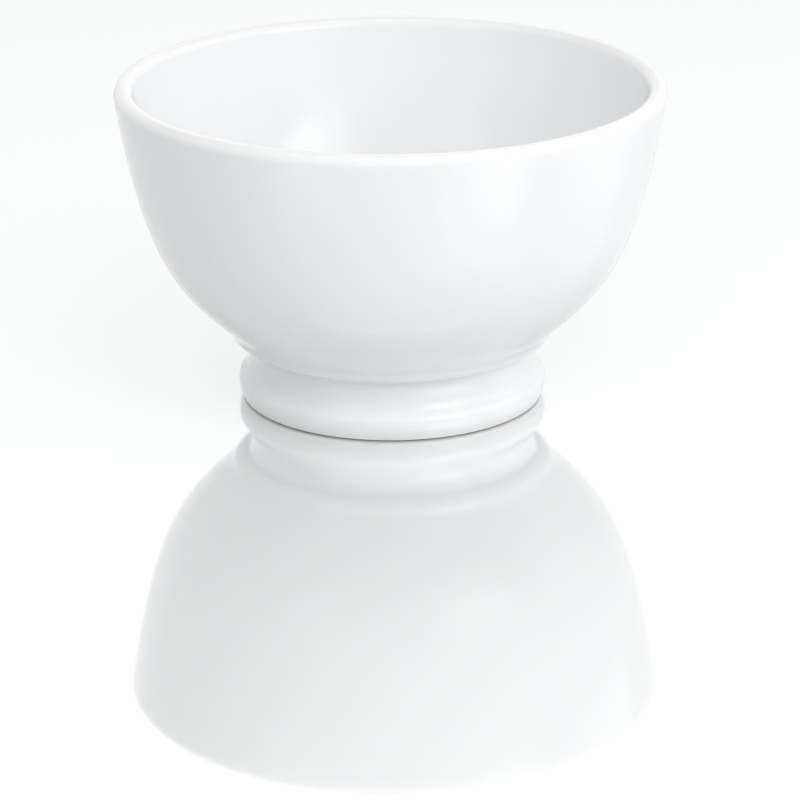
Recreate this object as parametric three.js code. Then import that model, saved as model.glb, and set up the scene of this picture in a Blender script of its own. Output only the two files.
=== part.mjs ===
// Footed breakfast bowl of white glazed porcelain, in millimetres.
// The origin is on the table under the middle of the bowl, and +Z is up.
// The bowl and its foot are two clay parts that meet face to face on one flat seam.
import * as THREE from 'three';

// Driving sizes. Every radius is an outside radius unless its name says otherwise.
const HEIGHT = 83;
const RIM_RADIUS = 70;
const LIP_THICKNESS = 4.8;
const RIM_LEAN = THREE.MathUtils.degToRad(9);

// The seam, and above it an undercut and the collar, a rounded band below the bowl's wall.
// An undercut, collar or shoulder is given by how far out and how far up it goes.
const SEAM_HEIGHT = 14.8;
const SEAM_RADIUS = 37.6;
const UNDERCUT = new THREE.Vector2(1.2, 0.8);
const COLLAR = new THREE.Vector2(3.2, 3.7);
const COLLAR_BULGE = 0.68;
const WALL_SLOPE_AT_COLLAR = THREE.MathUtils.degToRad(41);

// How long the outer wall's curve keeps the direction that it has at the rim, as a share of
// its height, and at the collar, as a share of its width.
const RIM_PULL = 0.706;
const COLLAR_PULL = 0.68;

// The wall is as thick as the lip at the top and a little thicker low down. The inside rounds
// into the floor from where it has this share of the wall still below it.
const LOW_WALL_THICKNESS = 5.4;
const FLOOR_THICKNESS = 5.7;
const FLOOR_ROUND = 0.12;

// The foot: a waist below the seam, a rounded flange, a heel and a flat ring on the table.
// The flange is widest at FLANGE_HEIGHT, and its shoulder runs up and in from there.
// The recess inside the foot leaves the waist a wall of its own thickness.
const FLANGE_RADIUS = 39.8;
const FLANGE_HEIGHT = 4.4;
const SHOULDER = new THREE.Vector2(-1.1, 2.5);
const SHOULDER_TURN = 1.6;
const WAIST_DEPTH = 1.4;
const WAIST_PULL = 1.3;
const WAIST_WALL = 4.7;
const HEEL_TAPER = 1;
const HEEL_HEIGHT = 0.7;
const RING_STEP_IN = 1.4;
const RING_WIDTH = 3.6;
const RING_EDGE = 0.6;
const RECESS_FILLET = 2.4;

const QUARTER_TURN = Math.PI / 2;
const SEGMENTS = 64;
const PORCELAIN = { color: 0xf4f6f7, roughness: 0.15, metalness: 0 };

function point(radius, height) {
  return new THREE.Vector2(radius, height);
}

// Joins curves end to end. Each entry is a curve and the number of pieces to cut it into.
function joinCurves(entries) {
  const points = [entries[0][0].getPoint(0)];
  for (const [curve, pieces] of entries) {
    points.push(...curve.getPoints(pieces).slice(1));
  }
  return points;
}

// Turns an outline of (radius, height) points about the upright axis.
function turn(name, outline) {
  const geometry = new THREE.LatheGeometry(outline, SEGMENTS);
  geometry.rotateX(QUARTER_TURN);
  const mesh = new THREE.Mesh(geometry, new THREE.MeshStandardMaterial(PORCELAIN));
  mesh.name = name;
  return mesh;
}

// The round lip is half a circle whose ends run straight on into both wall faces.
const lipRadius = LIP_THICKNESS / 2;
const lipCentre = point(RIM_RADIUS - lipRadius, HEIGHT - lipRadius);
const acrossWall = point(Math.cos(RIM_LEAN), -Math.sin(RIM_LEAN)).multiplyScalar(lipRadius);
const downWall = point(-Math.sin(RIM_LEAN), -Math.cos(RIM_LEAN));
const outerRim = lipCentre.clone().add(acrossWall);

// The seam's edge, the undercut above it, and the collar above that.
const seamEdge = point(SEAM_RADIUS, SEAM_HEIGHT);
const collarBottom = seamEdge.clone().add(UNDERCUT);
const collarTop = collarBottom.clone().add(COLLAR);

function undercutCurve() {
  const corner = point(seamEdge.x, collarBottom.y);
  return new THREE.QuadraticBezierCurve(seamEdge, corner, collarBottom);
}

function collarCurve() {
  const bulge = point(collarTop.x, collarTop.y - COLLAR_BULGE * COLLAR.y);
  return new THREE.QuadraticBezierCurve(collarBottom, bulge, collarTop);
}

function outerWallCurve() {
  const slope = point(Math.cos(WALL_SLOPE_AT_COLLAR), Math.sin(WALL_SLOPE_AT_COLLAR));
  const collarPull = COLLAR_PULL * (outerRim.x - collarTop.x);
  const rimPull = RIM_PULL * (outerRim.y - collarTop.y);
  const nearCollar = collarTop.clone().addScaledVector(slope, collarPull);
  const nearRim = outerRim.clone().addScaledVector(downWall, rimPull);
  return new THREE.CubicBezierCurve(collarTop, nearCollar, nearRim, outerRim);
}

function lipArc(from, to) {
  return new THREE.EllipseCurve(lipCentre.x, lipCentre.y, lipRadius, lipRadius, from, to, false);
}

// Runs down inside the outer wall, at the wall's thickness from it.
class InnerWall extends THREE.Curve {
  getPoint(share) {
    const outer = outerWallCurve();
    const outerShare = 1 - share * (1 - FLOOR_ROUND);
    const along = outer.getTangent(outerShare);
    const inward = point(-along.y, along.x);
    const thickness = THREE.MathUtils.lerp(LOW_WALL_THICKNESS, LIP_THICKNESS, outerShare);
    return outer.getPoint(outerShare).addScaledVector(inward, thickness);
  }
}

// Starts in the direction of the inner wall's end, and is level at the middle of the bowl.
function floorCurve() {
  const wall = new InnerWall();
  const start = wall.getPoint(1);
  const down = wall.getTangent(1);
  const centre = point(0, SEAM_HEIGHT + FLOOR_THICKNESS);
  const reach = (centre.y - start.y) / down.y;
  return new THREE.QuadraticBezierCurve(start, start.clone().addScaledVector(down, reach), centre);
}

function makeBowl() {
  return turn('bowl', joinCurves([
    [new THREE.LineCurve(point(0, SEAM_HEIGHT), seamEdge), 1],
    [undercutCurve(), 2],
    [collarCurve(), 4],
    [outerWallCurve(), 14],
    [lipArc(-RIM_LEAN, 0), 1],
    [lipArc(0, QUARTER_TURN), 4],
    [lipArc(QUARTER_TURN, 2 * QUARTER_TURN - RIM_LEAN), 4],
    [new InnerWall(), 13],
    [floorCurve(), 8],
  ]));
}

// The foot's own points, from the flange's widest edge up to its shoulder and down to the ring.
const flangeEdge = point(FLANGE_RADIUS, FLANGE_HEIGHT);
const shoulder = flangeEdge.clone().add(SHOULDER);
const shoulderCorner = point(flangeEdge.x, flangeEdge.y + SHOULDER_TURN);
const heel = point(flangeEdge.x - HEEL_TAPER, HEEL_HEIGHT);
const ringOuter = point(heel.x - RING_STEP_IN, 0);
const ringInner = point(ringOuter.x - RING_WIDTH, 0);

// The waist leaves the shoulder in the shoulder's own direction, so the two run on smoothly.
function waistCurve() {
  const onward = shoulder.clone().sub(shoulderCorner);
  const nearShoulder = shoulder.clone().addScaledVector(onward, WAIST_PULL);
  const nearSeam = point(SEAM_RADIUS - WAIST_DEPTH, (SEAM_HEIGHT + nearShoulder.y) / 2);
  return new THREE.CubicBezierCurve(shoulder, nearShoulder, nearSeam, seamEdge);
}

function shoulderCurve() {
  return new THREE.QuadraticBezierCurve(flangeEdge, shoulderCorner, shoulder);
}

function flangeSideCurve() {
  const middle = point(flangeEdge.x, (flangeEdge.y + heel.y) / 2);
  return new THREE.QuadraticBezierCurve(heel, middle, flangeEdge);
}

function heelCurve() {
  return new THREE.QuadraticBezierCurve(ringOuter, point(heel.x, 0), heel);
}

// The recess's edge at the ring, and the fillet of clay where its wall meets the bowl.
const recessEdge = point(ringInner.x - RING_EDGE, RING_EDGE);
const recessCorner = point(SEAM_RADIUS - WAIST_DEPTH - WAIST_WALL, SEAM_HEIGHT);
const filletBottom = point(recessCorner.x, recessCorner.y - RECESS_FILLET);
const filletTop = point(recessCorner.x - RECESS_FILLET, recessCorner.y);

function recessFilletCurve() {
  return new THREE.QuadraticBezierCurve(filletTop, recessCorner, filletBottom);
}

function ringEdgeCurve() {
  return new THREE.QuadraticBezierCurve(recessEdge, point(recessEdge.x, 0), ringInner);
}

function makeFoot() {
  return turn('foot', joinCurves([
    [heelCurve(), 3],
    [flangeSideCurve(), 4],
    [shoulderCurve(), 4],
    [waistCurve(), 6],
    [new THREE.LineCurve(seamEdge, filletTop), 1],
    [recessFilletCurve(), 3],
    [new THREE.LineCurve(filletBottom, recessEdge), 1],
    [ringEdgeCurve(), 2],
    [new THREE.LineCurve(ringInner, ringOuter), 1],
  ]));
}

const footedBowl = new THREE.Group();
footedBowl.add(makeBowl(), makeFoot());

export default footedBowl;
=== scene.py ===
import math
from collections import namedtuple

import bmesh
import bpy
from bpy.props import FloatProperty, FloatVectorProperty, IntProperty, PointerProperty
from mathutils import Matrix, Vector


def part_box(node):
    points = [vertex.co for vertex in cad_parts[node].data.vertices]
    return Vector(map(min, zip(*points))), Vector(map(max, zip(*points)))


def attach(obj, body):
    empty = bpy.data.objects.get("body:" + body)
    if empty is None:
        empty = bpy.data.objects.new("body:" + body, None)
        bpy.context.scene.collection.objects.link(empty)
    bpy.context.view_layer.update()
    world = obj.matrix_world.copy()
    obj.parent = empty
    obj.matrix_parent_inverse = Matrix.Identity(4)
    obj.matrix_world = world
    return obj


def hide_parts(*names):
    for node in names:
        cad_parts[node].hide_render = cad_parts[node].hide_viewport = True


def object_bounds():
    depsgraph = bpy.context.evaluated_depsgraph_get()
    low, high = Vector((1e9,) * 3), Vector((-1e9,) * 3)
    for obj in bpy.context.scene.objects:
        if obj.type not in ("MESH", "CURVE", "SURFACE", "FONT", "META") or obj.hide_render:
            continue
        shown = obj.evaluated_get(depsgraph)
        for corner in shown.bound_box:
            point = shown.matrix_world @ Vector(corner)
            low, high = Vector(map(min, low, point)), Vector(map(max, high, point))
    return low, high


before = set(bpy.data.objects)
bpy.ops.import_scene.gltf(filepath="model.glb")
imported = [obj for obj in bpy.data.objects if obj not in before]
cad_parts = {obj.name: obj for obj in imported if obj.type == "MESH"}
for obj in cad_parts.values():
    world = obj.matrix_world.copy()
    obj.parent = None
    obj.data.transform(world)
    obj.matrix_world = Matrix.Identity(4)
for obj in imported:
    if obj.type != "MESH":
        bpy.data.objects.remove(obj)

bl_info = {
    "name": "Footed Porcelain Bowl",
    "version": (1, 0, 0),
    "blender": (4, 5, 0),
    "location": "View3D > Sidebar > Bowl",
    "description": "Makes a glazed porcelain breakfast bowl on a ring foot, and a plain studio for it",
    "category": "Add Mesh",
}

MM = 0.001
CAD_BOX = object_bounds()
BOWL_LOW, BOWL_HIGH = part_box("bowl")
FOOT_LOW, FOOT_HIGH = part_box("foot")


def length(name, description, default, least=0.0):
    """A size in metres that a user can change."""
    return FloatProperty(
        name=name,
        description=description,
        default=default,
        min=least,
        unit="LENGTH",
        precision=5,
    )


def colour(name, description, default):
    """A linear colour that a user can change."""
    return FloatVectorProperty(
        name=name, description=description, default=default, size=4, min=0, max=1, subtype="COLOR"
    )


class BowlSizes(bpy.types.PropertyGroup):
    rim_radius: length("Rim radius", "Outside radius of the rim", BOWL_HIGH.x)
    height: length("Height", "From the table to the top of the rim", BOWL_HIGH.z)
    lip_thickness: length("Lip", "Thickness of the round lip", 4.8 * MM)
    low_wall: length("Low wall", "Thickness of the wall where it meets the floor", 5.4 * MM)
    floor_thickness: length("Floor", "Thickness of the floor at its middle", 5.7 * MM)
    rim_lean: FloatProperty(
        name="Rim lean",
        description="How far the wall leans out where it meets the lip",
        default=math.radians(9),
        subtype="ANGLE",
    )
    collar_slope: FloatProperty(
        name="Slope at the collar",
        description="Slope of the wall above the collar, from level",
        default=math.radians(41),
        subtype="ANGLE",
    )
    collar_out: length(
        "Collar reach", "How far the collar stands out past its own lower edge", 3.2 * MM
    )
    collar_up: length("Collar height", "Height of the rounded collar", 3.7 * MM)
    undercut_out: length("Undercut reach", "How far the undercut goes in below the collar", 1.2 * MM)
    undercut_up: length("Undercut height", "Height of the undercut below the collar", 0.8 * MM)
    out_of_round: length("Out of round", "How far the fired rim departs from a circle", 0.14 * MM)
    steps: IntProperty(
        name="Steps round", description="Faces round the bowl", default=256, min=32, max=512
    )


class FootSizes(bpy.types.PropertyGroup):
    seam_radius: length("Seam radius", "Radius where the foot meets the bowl", 37.6 * MM)
    flange_radius: length("Flange radius", "Widest radius of the foot", FOOT_HIGH.x)
    flange_height: length("Flange height", "Height of the widest place", 4.4 * MM)
    shoulder_in: length("Shoulder reach", "How far the shoulder runs in from the flange", 1.1 * MM)
    shoulder_up: length("Shoulder height", "Height of the shoulder above the widest place", 2.5 * MM)
    shoulder_turn: length("Shoulder turn", "Height over which the flange turns into its shoulder", 1.6 * MM)
    waist_depth: length("Waist depth", "How far the waist goes in from the seam", 1.4 * MM)
    waist_wall: length("Waist wall", "Thickness of the foot at its waist", 4.7 * MM)
    heel_taper: length("Heel taper", "How far the foot draws in from the flange to its heel", 1.0 * MM)
    heel_height: length("Heel height", "Height of the heel's edge", 0.7 * MM)
    ring_step: length("Ring step", "From the heel in to the bare ring", 1.4 * MM)
    ring_width: length("Ring width", "Width of the bare ring that stands on the table", 3.6 * MM)
    glaze_edge: length("Glaze edge", "Thickness of the glaze where it stops at the bare ring", 0.22 * MM)
    recess_fillet: length("Recess fillet", "Fillet where the recess meets the bowl", 2.4 * MM)


class GlazeLook(bpy.types.PropertyGroup):
    glaze: colour("Glaze", "White of the glaze", (0.855, 0.86, 0.865, 1))
    # A darker glaze tone: thicker glaze, and painted shade where it is laid into the crease over the collar
    # and along the seam
    pooled_glaze_and_shade: colour("Pooled glaze and painted shade", "Glaze where it has run thick", (0.80, 0.82, 0.83, 1))
    thin: colour("Thin glaze", "Glaze where it has drawn thin on an edge", (0.865, 0.86, 0.845, 1))
    bare_clay: colour("Bare clay", "Fired clay without glaze", (0.74, 0.70, 0.64, 1))
    roughness: FloatProperty(
        name="Glaze roughness", description="Roughness of the glaze", default=0.07, min=0, max=1
    )


class StageLook(bpy.types.PropertyGroup):
    floor: colour("Floor", "Colour of the floor under its polish", (0.89, 0.89, 0.89, 1))
    polish: colour("Polish", "Colour of what the floor mirrors", (0.95, 0.95, 0.95, 1))
    floor_gloss: FloatProperty(
        name="Floor gloss",
        description="Share of the light that the floor mirrors at a flat angle",
        default=0.65,
        min=0,
        max=1,
    )
    floor_gloss_above: FloatProperty(
        name="Floor gloss from above",
        description="Share of the light that the floor mirrors when it is seen from above",
        default=0.3,
        min=0,
        max=1,
    )
    horizon: FloatProperty(
        name="Horizon", description="Light from low down behind", default=1.14, min=0
    )
    horizon_near: FloatProperty(
        name="Near horizon", description="Light from low down on the camera's side", default=0.53, min=0
    )
    ceiling: FloatProperty(
        name="Ceiling", description="Light from high up, all round", default=0.55, min=0
    )
    softboxes: FloatProperty(
        name="Softboxes", description="What every softbox's power is multiplied by", default=1.0, min=0
    )


# Outlines. A point is (radius, height) in the plane of the bowl's axis.


def point(radius, height):
    return Vector((radius, height))


def quadratic(start, corner, end):
    """A curve from start to end that leaves and arrives in the direction of the corner."""
    return lambda share: (
        (1 - share) ** 2 * start + 2 * (1 - share) * share * corner + share**2 * end
    )


def cubic(start, near_start, near_end, end):
    def at(share):
        rest = 1 - share
        return (
            rest**3 * start
            + 3 * rest**2 * share * near_start
            + 3 * rest * share**2 * near_end
            + share**3 * end
        )

    return at


def arc(centre, radius, first, last):
    def at(share):
        angle = first + (last - first) * share
        return centre + radius * point(math.cos(angle), math.sin(angle))

    return at


def line(start, end):
    return lambda share: start.lerp(end, share)


def tangent(curve, share, reach=1e-4):
    """Direction of a curve, from two points close to a place on it."""
    before = curve(max(share - reach, 0))
    after = curve(min(share + reach, 1))
    return (after - before).normalized()


def stretch(curve, first, last):
    """The part of a curve between two shares of it."""
    return lambda share: curve(first + (last - first) * share)


def outline(*pieces):
    """Joins curves end to end. Each piece is a curve and its number of steps."""
    points = [pieces[0][0](0)]
    for curve, steps in pieces:
        points.extend(curve(step / steps) for step in range(1, steps + 1))
    return points


def link_object(name, data):
    made = bpy.data.objects.new(name, data)
    bpy.context.scene.collection.objects.link(made)
    return made


def mesh_object(name, mesh_maker):
    """Turns a finished bmesh into an object of the scene."""
    mesh = bpy.data.meshes.new(name)
    mesh_maker.to_mesh(mesh)
    mesh_maker.free()
    return link_object(name, mesh)


def spin_outline(name, points, steps):
    """Turns an outline about the upright axis into a closed, smooth-shaded object."""
    merge_distance = 0.002 * MM
    sharp_angle = math.radians(40)
    mesh_maker = bmesh.new()
    ring = [mesh_maker.verts.new((at.x, 0, at.y)) for at in points]
    edges = [mesh_maker.edges.new(pair) for pair in zip(ring, ring[1:])]
    bmesh.ops.spin(
        mesh_maker,
        geom=ring + edges,
        cent=(0, 0, 0),
        axis=(0, 0, 1),
        angle=math.tau,
        steps=steps,
        use_merge=True,
    )
    bmesh.ops.remove_doubles(mesh_maker, verts=mesh_maker.verts, dist=merge_distance)
    bmesh.ops.recalc_face_normals(mesh_maker, faces=mesh_maker.faces)
    made = mesh_object(name, mesh_maker)
    made.data.shade_smooth()
    made.data.set_sharp_from_angle(angle=sharp_angle)
    return made


# The bowl.


def outer_wall(bowl, foot):
    """From the collar's top to the lip."""
    low_fullness = 0.68
    high_fullness = 0.706
    lip = bowl.lip_thickness / 2
    across = point(math.cos(bowl.rim_lean), -math.sin(bowl.rim_lean)) * lip
    rim = point(bowl.rim_radius - lip, bowl.height - lip) + across
    down = point(-math.sin(bowl.rim_lean), -math.cos(bowl.rim_lean))
    collar = collar_top(bowl, foot)
    slope = point(math.cos(bowl.collar_slope), math.sin(bowl.collar_slope))
    near_collar = collar + slope * low_fullness * (rim.x - collar.x)
    near_rim = rim + down * high_fullness * (rim.y - collar.y)
    return cubic(collar, near_collar, near_rim, rim)


def collar_bottom(bowl, foot):
    return point(foot.seam_radius + bowl.undercut_out, BOWL_LOW.z + bowl.undercut_up)


def collar_top(bowl, foot):
    return collar_bottom(bowl, foot) + point(bowl.collar_out, bowl.collar_up)


def inner_wall(bowl, foot):
    """From the lip down, at the wall's thickness inside the outer wall.

    It stops a little above the collar, where the inside starts to round into the floor.
    """
    outer = outer_wall(bowl, foot)
    round_start = 0.12

    def at(share):
        place = 1 - share * (1 - round_start)
        along = tangent(outer, place)
        thickness = bowl.low_wall + (bowl.lip_thickness - bowl.low_wall) * place
        return outer(place) + point(-along.y, along.x) * thickness

    return at


def inner_floor(bowl, foot):
    """Rounds out of the inner wall and is level at the middle."""
    wall = inner_wall(bowl, foot)
    start = wall(1)
    down = tangent(wall, 1)
    centre = point(0, BOWL_LOW.z + bowl.floor_thickness)
    corner = start + down * ((centre.y - start.y) / down.y)
    return quadratic(start, corner, centre)


def recess_roof(bowl, foot):
    """The underside inside the foot: a shallow dome with its edge at the seam's height."""
    rise = 0.5 * MM
    flat_share = 0.6
    recess_radius = foot.seam_radius - foot.waist_depth - foot.waist_wall
    edge = point(recess_radius - foot.recess_fillet, BOWL_LOW.z)
    centre = point(0, BOWL_LOW.z + rise)
    return quadratic(centre, point(edge.x * flat_share, centre.y), edge), edge


def bowl_outline(bowl, foot):
    """The whole bowl, from the middle of its underside round to the middle of its floor."""
    collar_fullness = 0.68
    fillet_start = 0.6
    fillet_end = 0.05
    roof, roof_edge = recess_roof(bowl, foot)
    seam = point(foot.seam_radius, BOWL_LOW.z)
    low = collar_bottom(bowl, foot)
    high = collar_top(bowl, foot)
    undercut = quadratic(seam, point(seam.x, low.y), low)
    collar = quadratic(low, point(high.x, high.y - collar_fullness * bowl.collar_up), high)
    wall = outer_wall(bowl, foot)
    lip = bowl.lip_thickness / 2
    lip_centre = point(bowl.rim_radius - lip, bowl.height - lip)
    glaze_fillet = quadratic(collar(fillet_start), high, wall(fillet_end))
    return outline(
        (roof, 14),
        (line(roof_edge, seam), 3),
        (undercut, 5),
        (stretch(collar, 0, fillet_start), 8),
        (glaze_fillet, 10),
        (stretch(wall, fillet_end, 1), 44),
        (arc(lip_centre, lip, -bowl.rim_lean, math.pi / 2), 12),
        (arc(lip_centre, lip, math.pi / 2, math.pi - bowl.rim_lean), 12),
        (inner_wall(bowl, foot), 40),
        (inner_floor(bowl, foot), 28),
    )


def settle_in_kiln(made, bowl):
    """Draws the rim in by a fraction of a millimetre, unevenly, as firing does."""
    oval_turn = 0.7
    three_turn = 1.1
    oval_share, three_share = 0.7, 0.3
    drop_share = 0.5
    seam_height = BOWL_LOW.z
    depth = bowl.height - seam_height
    for vertex in made.data.vertices:
        angle = math.atan2(vertex.co.y, vertex.co.x)
        rise = max((vertex.co.z - seam_height) / depth, 0) ** 2
        oval = 0.5 - 0.5 * math.cos(2 * angle + oval_turn)
        three = 0.5 - 0.5 * math.cos(3 * angle - three_turn)
        uneven = oval_share * oval + three_share * three
        inward = bowl.out_of_round * rise * uneven
        radius = math.hypot(vertex.co.x, vertex.co.y)
        if radius > inward:
            vertex.co.x *= 1 - inward / radius
            vertex.co.y *= 1 - inward / radius
        vertex.co.z -= drop_share * bowl.out_of_round * rise * three


# The foot.


def foot_outline(foot):
    """The whole foot, up its outside from the bare ring, and down its recess to it again."""
    shoulder_run_on = 1.3
    recess_edge_step = 0.6 * MM
    seam = point(foot.seam_radius, FOOT_HIGH.z)
    flange = point(foot.flange_radius, foot.flange_height)
    shoulder = flange + point(-foot.shoulder_in, foot.shoulder_up)
    shoulder_corner = flange + point(0, foot.shoulder_turn)
    onward = shoulder + (shoulder - shoulder_corner) * shoulder_run_on
    near_seam = point(seam.x - foot.waist_depth, (seam.y + onward.y) / 2)
    heel = point(flange.x - foot.heel_taper, foot.heel_height)
    ring_outer = point(heel.x - foot.ring_step, 0)
    ring_inner = point(ring_outer.x - foot.ring_width, 0)
    roof = point(seam.x - foot.waist_depth - foot.waist_wall, seam.y)
    recess_edge = point(ring_inner.x - recess_edge_step, recess_edge_step)
    fillet_low = roof - point(0, foot.recess_fillet)
    fillet_high = roof - point(foot.recess_fillet, 0)
    glaze = foot.glaze_edge
    outer_stop = ring_outer + point(glaze, glaze)
    inner_stop = ring_inner + point(-glaze, glaze)
    return outline(
        (line(ring_outer, ring_outer + point(0, glaze)), 1),
        (quadratic(ring_outer + point(0, glaze), ring_outer + point(glaze, 0), outer_stop), 3),
        (quadratic(outer_stop, point(heel.x, glaze), heel), 8),
        (quadratic(heel, point(flange.x, (flange.y + heel.y) / 2), flange), 12),
        (quadratic(flange, shoulder_corner, shoulder), 12),
        (cubic(shoulder, onward, near_seam, seam), 22),
        (line(seam, fillet_high), 3),
        (quadratic(fillet_high, roof, fillet_low), 8),
        (line(fillet_low, recess_edge), 8),
        (quadratic(recess_edge, point(recess_edge.x, glaze), inner_stop), 5),
        (quadratic(inner_stop, ring_inner + point(-glaze, 0), ring_inner + point(0, glaze)), 3),
        (line(ring_inner + point(0, glaze), ring_inner), 1),
        (line(ring_inner, ring_outer), 3),
    )


# Materials.


class Nodes:
    """The node tree of a material or world, with short calls to add nodes and join them."""

    def __init__(self, owner):
        self.owner = owner
        owner.use_nodes = True
        self.tree = owner.node_tree
        self.tree.nodes.clear()

    def add(self, kind, settings=None, **inputs):
        """Adds a node. An input's name has _ for each space in it."""
        node = self.tree.nodes.new(kind)
        for name, value in (settings or {}).items():
            setattr(node, name, value)
        for name, value in inputs.items():
            self.feed(node.inputs[name.replace("_", " ")], value)
        return node

    def feed(self, socket, value):
        """Joins another node's output to a socket, or sets the socket's own value."""
        if isinstance(value, bpy.types.NodeSocket):
            self.tree.links.new(value, socket)
        else:
            socket.default_value = value

    def finish(self, shader, output_kind="ShaderNodeOutputMaterial"):
        output = self.add(output_kind)
        self.tree.links.new(shader.outputs[0], output.inputs["Surface"])
        return self.owner


def noise(nodes, place, scale, detail, roughness=0.5):
    return nodes.add(
        "ShaderNodeTexNoise", Vector=place, Scale=scale, Detail=detail, Roughness=roughness
    ).outputs["Fac"]


def band(nodes, value, low, high, to_low=0.0, to_high=1.0):
    """Smoothly maps a value between low and high to another range."""
    node = nodes.add("ShaderNodeMapRange", {"interpolation_type": "SMOOTHSTEP"})
    nodes.feed(node.inputs["Value"], value)
    nodes.feed(node.inputs["From Min"], low)
    nodes.feed(node.inputs["From Max"], high)
    nodes.feed(node.inputs["To Min"], to_low)
    nodes.feed(node.inputs["To Max"], to_high)
    return node.outputs["Result"]


def calculate(nodes, operation, first, second=0.0):
    node = nodes.add("ShaderNodeMath", {"operation": operation})
    nodes.feed(node.inputs[0], first)
    nodes.feed(node.inputs[1], second)
    return node.outputs[0]


def blend_colours(nodes, share, first, second):
    node = nodes.add("ShaderNodeMix", {"data_type": "RGBA"})
    nodes.feed(node.inputs["Factor"], share)
    nodes.feed(node.inputs["A"], first)
    nodes.feed(node.inputs["B"], second)
    return node.outputs["Result"]


def near_height(nodes, height, level, reach):
    """1 at a level of the bowl, falling to 0 at reach above and below it."""
    distance = calculate(nodes, "ABSOLUTE", calculate(nodes, "SUBTRACT", height, level))
    return band(nodes, distance, 0.0, reach, 1.0, 0.0)


def pooled_glaze_and_shade_share(nodes, place, height, bowl, foot):
    """How much of the darker tone the glaze gets, as thicker glaze and painted shade: most in the crease
    over the collar and along the seam.
    """
    crease_reach = 1.3 * MM
    seam_level = BOWL_LOW.z + 0.4 * MM
    seam_reach = 1.6 * MM
    crease = near_height(nodes, height, collar_top(bowl, foot).y, crease_reach)
    seam = near_height(nodes, height, seam_level, seam_reach)
    # Painted shade: the crease and seam bands darken the glaze where shade falls, on top of its pooling.
    thick_glaze_and_shade = calculate(nodes, "MAXIMUM", crease, seam)
    patches = noise(nodes, place, scale=90, detail=3)
    uneven = band(nodes, patches, low=0.3, high=0.7, to_low=0.45)
    return calculate(nodes, "MULTIPLY", thick_glaze_and_shade, uneven)


def glaze_colour(nodes, place, height, look, bowl, foot):
    """White, with pale clouds, a darker tone of thick glaze and painted shade in the crease over the collar
    and along the seam, and a warmer one on the lip.
    """
    cloud_share = 0.10
    thin_reach = 1.6 * MM
    thin_share = 0.6
    cloud = band(nodes, noise(nodes, place, scale=14, detail=2), low=0.35, high=0.65)
    clouded = calculate(nodes, "MULTIPLY", cloud, cloud_share)
    white = blend_colours(nodes, clouded, look.glaze, look.pooled_glaze_and_shade)
    # Painted shade: the crease over the collar and the seam get the darker tone, which also stands for
    # thicker glaze.
    thick_glaze_and_shade = pooled_glaze_and_shade_share(nodes, place, height, bowl, foot)
    tinted = blend_colours(nodes, thick_glaze_and_shade, white, look.pooled_glaze_and_shade)
    edge = band(nodes, height, bowl.height - thin_reach, bowl.height, to_high=thin_share)
    return blend_colours(nodes, edge, tinted, look.thin)


def glaze_waves(nodes, place):
    """Long soft waves of the fired glaze, and a very fine peel on them."""
    wave = nodes.add(
        "ShaderNodeBump",
        Strength=0.35,
        Distance=0.10 * MM,
        Height=noise(nodes, place, scale=55, detail=1),
    )
    return nodes.add(
        "ShaderNodeBump",
        Strength=0.25,
        Distance=0.012 * MM,
        Height=noise(nodes, place, scale=900, detail=2),
        Normal=wave.outputs["Normal"],
    ).outputs["Normal"]


def glaze_material(name, look, bowl, foot):
    """Clear glossy glaze over white porcelain: thicker, and darker with painted shade, in the creases, thin
    on the lip.
    """
    smoother = 0.015
    rougher = 0.03
    nodes = Nodes(bpy.data.materials.new(name))
    place = nodes.add("ShaderNodeTexCoord").outputs["Object"]
    height = nodes.add("ShaderNodeSeparateXYZ", Vector=place).outputs["Z"]
    smear = noise(nodes, place, scale=45, detail=4, roughness=0.6)
    least, most = look.roughness - smoother, look.roughness + rougher
    shader = nodes.add(
        "ShaderNodeBsdfPrincipled",
        Base_Color=glaze_colour(nodes, place, height, look, bowl, foot),
        Roughness=band(nodes, smear, low=0.3, high=0.8, to_low=least, to_high=most),
        Normal=glaze_waves(nodes, place),
        IOR=1.5,
    )
    return nodes.finish(shader)


def bare_clay_material(look):
    """The ring that stands on the table: fired clay, dry and very slightly gritty."""
    rubbed_brightness = 1.12
    smoothest, roughest = 0.68, 0.86
    nodes = Nodes(bpy.data.materials.new("bare_clay"))
    place = nodes.add("ShaderNodeTexCoord").outputs["Object"]
    wear = noise(nodes, place, scale=260, detail=4, roughness=0.6)
    rubbed = band(nodes, wear, low=0.42, high=0.72)
    lighter = tuple(min(part * rubbed_brightness, 1) for part in look.bare_clay[:3]) + (1,)
    tone = blend_colours(nodes, rubbed, look.bare_clay, lighter)
    grit = noise(nodes, place, scale=3200, detail=3, roughness=0.7)
    rough = nodes.add("ShaderNodeBump", Strength=0.5, Distance=0.04 * MM, Height=grit)
    shader = nodes.add(
        "ShaderNodeBsdfPrincipled",
        Base_Color=tone,
        Roughness=band(nodes, grit, low=0.3, high=0.7, to_low=smoothest, to_high=roughest),
        Normal=rough.outputs["Normal"],
    )
    return nodes.finish(shader)


def floor_material(look):
    """A pale polished board that mirrors what stands on it, more so at a flat angle."""
    steep, flat = 0.2, 0.55
    nodes = Nodes(bpy.data.materials.new("pale_board"))
    diffuse = nodes.add("ShaderNodeBsdfDiffuse", Color=look.floor)
    gloss = nodes.add("ShaderNodeBsdfGlossy", Color=look.polish, Roughness=0.04)
    mixed = nodes.add("ShaderNodeMixShader")
    slant = nodes.add("ShaderNodeLayerWeight", Blend=0.5).outputs["Facing"]
    mirrored = band(nodes, slant, steep, flat, look.floor_gloss_above, look.floor_gloss)
    nodes.feed(mixed.inputs["Fac"], mirrored)
    nodes.tree.links.new(diffuse.outputs[0], mixed.inputs[1])
    nodes.tree.links.new(gloss.outputs[0], mixed.inputs[2])
    return nodes.finish(mixed)


# Stage.


Softbox = namedtuple("Softbox", "name azimuth elevation distance size power mirrored")

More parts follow.
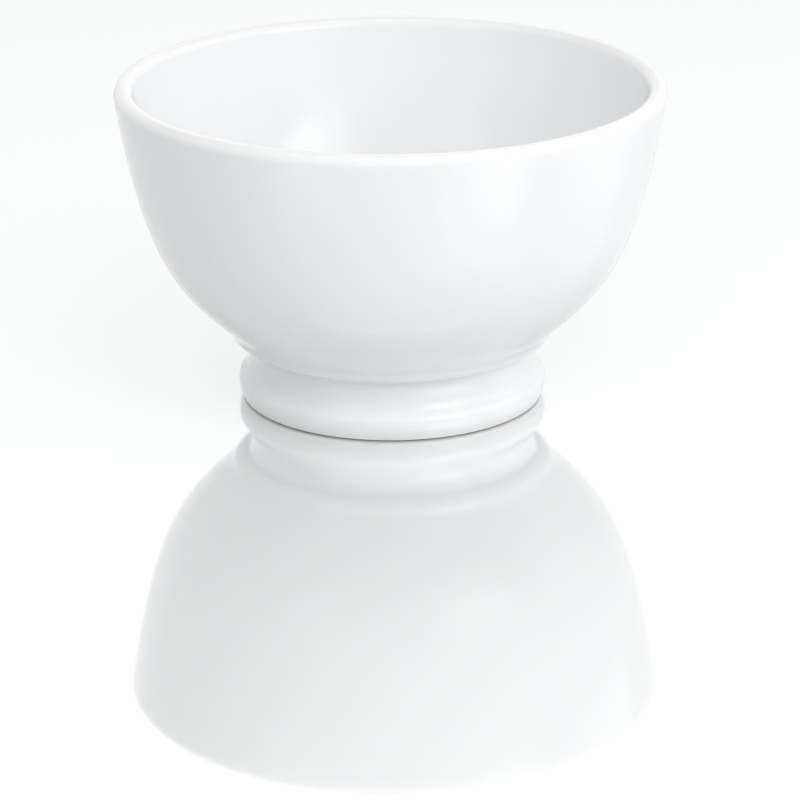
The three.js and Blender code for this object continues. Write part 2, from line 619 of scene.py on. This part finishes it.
# Azimuth and elevation are in degrees, and azimuth 0 is the camera's side, growing to the right. The
# rest is in metres and watts. A softbox that isn't mirrored lights the glaze without a highlight.
SOFTBOXES = (
    Softbox("key", 42, 28, 0.9, size=(0.80, 0.66), power=1.78, mirrored=True),
    Softbox("strip", 46, 20, 0.9, size=(0.42, 0.50), power=0.39, mirrored=True),
    Softbox("fill", -40, 20, 0.9, size=(0.52, 0.50), power=0.40, mirrored=True),
    Softbox("side", 100, 25, 0.9, size=(0.80, 0.60), power=0.60, mirrored=True),
    Softbox("top", 0, 79, 1.0, size=(1.20, 0.25), power=1.00, mirrored=True),
    Softbox("front", 0, 47, 1.0, size=(0.90, 0.50), power=3.00, mirrored=False),
)


def soften(lamp):
    """Dims a softbox towards its edges, as a real one's cloth does.

    The brighter middle makes up for most of what the edges lose.
    """
    fade_start = 0.2
    edge = 0.5
    middle_strength = 1.75
    nodes = Nodes(lamp)
    across = nodes.add("ShaderNodeNewGeometry").outputs["Parametric"]
    place = nodes.add("ShaderNodeSeparateXYZ", Vector=across)
    from_middle = []
    for axis in "XY":
        offset = calculate(nodes, "SUBTRACT", place.outputs[axis], 0.5)
        from_middle.append(calculate(nodes, "ABSOLUTE", offset))
    farthest = calculate(nodes, "MAXIMUM", *from_middle)
    strength = band(nodes, farthest, fade_start, edge, middle_strength, 0.0)
    glow = nodes.add("ShaderNodeEmission", Strength=strength)
    nodes.finish(glow, "ShaderNodeOutputLight")


def make_softbox(softbox, aim, strength):
    """An area light that looks at aim."""
    azimuth = math.radians(softbox.azimuth)
    elevation = math.radians(softbox.elevation)
    lamp = bpy.data.lights.new(softbox.name, "AREA")
    lamp.shape = "RECTANGLE"
    lamp.size, lamp.size_y = softbox.size
    lamp.energy = softbox.power * strength
    soften(lamp)
    flat = math.cos(elevation)
    outward = Vector((math.sin(azimuth) * flat, -math.cos(azimuth) * flat, math.sin(elevation)))
    place = aim + outward * softbox.distance
    turn = outward.to_track_quat("Z", "Y")
    made = link_object(softbox.name, lamp)
    made.visible_glossy = softbox.mirrored
    made.matrix_world = Matrix.LocRotScale(place, turn, Vector((1, 1, 1)))


def make_surround(look):
    """Light from all round: an even ceiling, and a horizon that is dimmest on the camera's side."""
    horizon_top = math.radians(24)
    ceiling_start = math.radians(44)
    brightest_way = Vector((0.42, 0.91, 0))
    turn_start, turn_end = -0.6, 0.6
    cool_white = (0.985, 0.992, 1.0, 1)
    nodes = Nodes(bpy.data.worlds.new("surround"))
    direction = nodes.add("ShaderNodeTexCoord").outputs["Generated"]
    rise = nodes.add("ShaderNodeSeparateXYZ", Vector=direction).outputs["Z"]
    towards = nodes.add("ShaderNodeVectorMath", {"operation": "DOT_PRODUCT"})
    nodes.feed(towards.inputs[0], direction)
    nodes.feed(towards.inputs[1], brightest_way)
    away = towards.outputs["Value"]
    low = band(nodes, away, turn_start, turn_end, look.horizon_near, look.horizon)
    strength = band(nodes, rise, math.sin(horizon_top), math.sin(ceiling_start), low, look.ceiling)
    background = nodes.add("ShaderNodeBackground", Color=cool_white, Strength=strength)
    bpy.context.scene.world = nodes.finish(background, "ShaderNodeOutputWorld")


def make_floor(look):
    """A round board, wide enough to reach the horizon, just under the foot."""
    radius = 12
    gap = 0.03 * MM
    mesh_maker = bmesh.new()
    bmesh.ops.create_circle(mesh_maker, cap_ends=True, segments=96, radius=radius)
    bmesh.ops.translate(mesh_maker, vec=(0, 0, FOOT_LOW.z - gap), verts=mesh_maker.verts)
    floor = mesh_object("floor", mesh_maker)
    floor.data.materials.append(floor_material(look))


def make_camera():
    """A long lens a little above the rim, so that the inside shows."""
    aim = Vector((1.97 * MM, 0, -2.96 * MM))
    distance = 0.92
    elevation = math.radians(19.87)
    roll = math.radians(0.303)
    camera_data = bpy.data.cameras.new("camera")
    camera_data.sensor_width = 36
    camera_data.lens = 158.8
    camera = link_object("camera", camera_data)
    place = Vector((0, -distance * math.cos(elevation), distance * math.sin(elevation)))
    turn = (aim - place).to_track_quat("-Z", "Y").to_matrix().to_4x4()
    camera.matrix_world = Matrix.Translation(place) @ turn @ Matrix.Rotation(-roll, 4, "Z")
    bpy.context.scene.camera = camera


class BOWL_OT_make_body(bpy.types.Operator):
    """Make the bowl above the seam"""

    bl_idname = "bowl.make_body"
    bl_label = "Make Bowl"

    def execute(self, context):
        scene = context.scene
        bowl, foot, look = scene.bowl_sizes, scene.foot_sizes, scene.glaze_look
        made = spin_outline("glazed_bowl", bowl_outline(bowl, foot), bowl.steps)
        settle_in_kiln(made, bowl)
        made.data.materials.append(glaze_material("bowl_glaze", look, bowl, foot))
        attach(made, "root")
        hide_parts("bowl")
        return {"FINISHED"}


class BOWL_OT_make_foot(bpy.types.Operator):
    """Make the ring foot below the seam"""

    bl_idname = "bowl.make_foot"
    bl_label = "Make Foot"

    def execute(self, context):
        scene = context.scene
        bowl, foot, look = scene.bowl_sizes, scene.foot_sizes, scene.glaze_look
        made = spin_outline("glazed_foot", foot_outline(foot), bowl.steps)
        made.data.materials.append(glaze_material("foot_glaze", look, bowl, foot))
        made.data.materials.append(bare_clay_material(look))
        glaze_slot, clay_slot = 0, 1
        bare_below = foot.glaze_edge * 0.6
        for face in made.data.polygons:
            face.material_index = clay_slot if face.center.z < bare_below else glaze_slot
        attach(made, "root")
        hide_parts("foot")
        return {"FINISHED"}


class BOWL_OT_make_stage(bpy.types.Operator):
    """Make the floor, the lights and the camera"""

    bl_idname = "bowl.make_stage"
    bl_label = "Make Stage"

    def execute(self, context):
        look = context.scene.stage_look
        context.scene.view_settings.view_transform = "Standard"
        middle = (CAD_BOX[0] + CAD_BOX[1]) / 2
        make_surround(look)
        make_floor(look)
        for softbox in SOFTBOXES:
            make_softbox(softbox, middle, look.softboxes)
        make_camera()
        return {"FINISHED"}


class BOWL_PT_panel(bpy.types.Panel):
    """Lists the bowl's sizes, its looks and the steps that make it"""

    bl_label = "Footed Bowl"
    bl_idname = "BOWL_PT_panel"
    bl_space_type = "VIEW_3D"
    bl_region_type = "UI"
    bl_category = "Bowl"

    def draw(self, context):
        for name in PROPERTY_GROUPS:
            box = self.layout.box()
            group = getattr(context.scene, name)
            for value in group.bl_rna.properties:
                if value.identifier not in {"rna_type", "name"}:
                    box.prop(group, value.identifier)
        for operator in OPERATORS:
            self.layout.operator(operator.bl_idname)


PROPERTY_GROUPS = {
    "bowl_sizes": BowlSizes,
    "foot_sizes": FootSizes,
    "glaze_look": GlazeLook,
    "stage_look": StageLook,
}
OPERATORS = (BOWL_OT_make_body, BOWL_OT_make_foot, BOWL_OT_make_stage)


def register():
    for name, group in PROPERTY_GROUPS.items():
        bpy.utils.register_class(group)
        setattr(bpy.types.Scene, name, PointerProperty(type=group))
    for operator in OPERATORS:
        bpy.utils.register_class(operator)
    bpy.utils.register_class(BOWL_PT_panel)


def unregister():
    bpy.utils.unregister_class(BOWL_PT_panel)
    for operator in reversed(OPERATORS):
        bpy.utils.unregister_class(operator)
    for name, group in PROPERTY_GROUPS.items():
        delattr(bpy.types.Scene, name)
        bpy.utils.unregister_class(group)


def main():
    register()
    bpy.ops.bowl.make_body()
    bpy.ops.bowl.make_foot()
    bpy.ops.bowl.make_stage()


if __name__ == "__main__":
    main()
